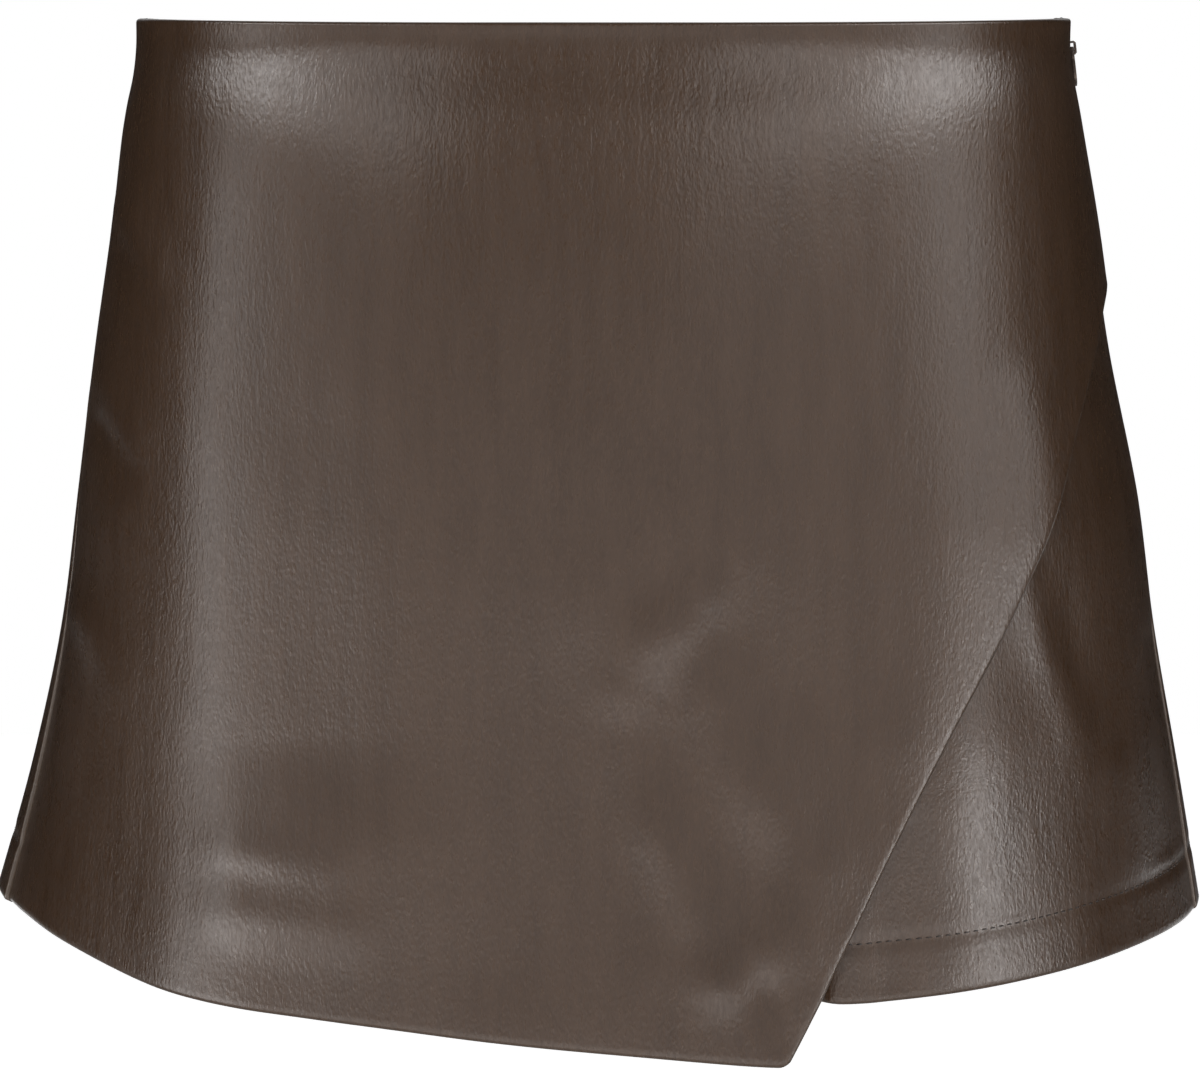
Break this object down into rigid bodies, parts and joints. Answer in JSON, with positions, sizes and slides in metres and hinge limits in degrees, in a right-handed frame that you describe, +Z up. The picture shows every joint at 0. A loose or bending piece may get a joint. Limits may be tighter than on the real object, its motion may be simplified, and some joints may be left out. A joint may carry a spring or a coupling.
{
  "type": "coated skort",
  "caption": "Short skort in dark brown coated fabric: wide-legged shorts under one smooth front panel with a slanting free edge, and a concealed zip in the left side seam.",
  "frame": {"origin": "centre of the waist opening, in the plane of the waist edge's side points", "axes": "+X to the wearer's left, where the zip is; -Y to the front; +Z up"},
  "size_m": [0.3787, 0.2725, 0.2988],
  "materials": {
    "wrap_coating": "semi-gloss polyurethane coating with a fine crepe grain",
    "shorts_coating": "semi-gloss polyurethane coating with a fine crepe grain",
    "zip_tape": "woven tape",
    "zip_metal": "dark brown enamel"
  },
  "bodies": {
    "skort": {"wrap_front": "wrap_coating", "shorts_front_left": "shorts_coating", "shorts_front_right": "shorts_coating", "shorts_back_left": "shorts_coating", "shorts_back_right": "shorts_coating", "zip_tape_front": "zip_tape", "zip_tape_back": "zip_tape", "zip_slider": "zip_metal"},
    "zip_pull": {"zip_pull": "zip_metal"}
  },
  "joints": [
    {"name": "zip_pull_swing", "type": "hinge", "parent": "skort", "child": "zip_pull", "pos_m": [0.14498, -0.006, -0.00908], "axis": [0, -1, 0], "range_deg": [0, 160]}
  ]
}
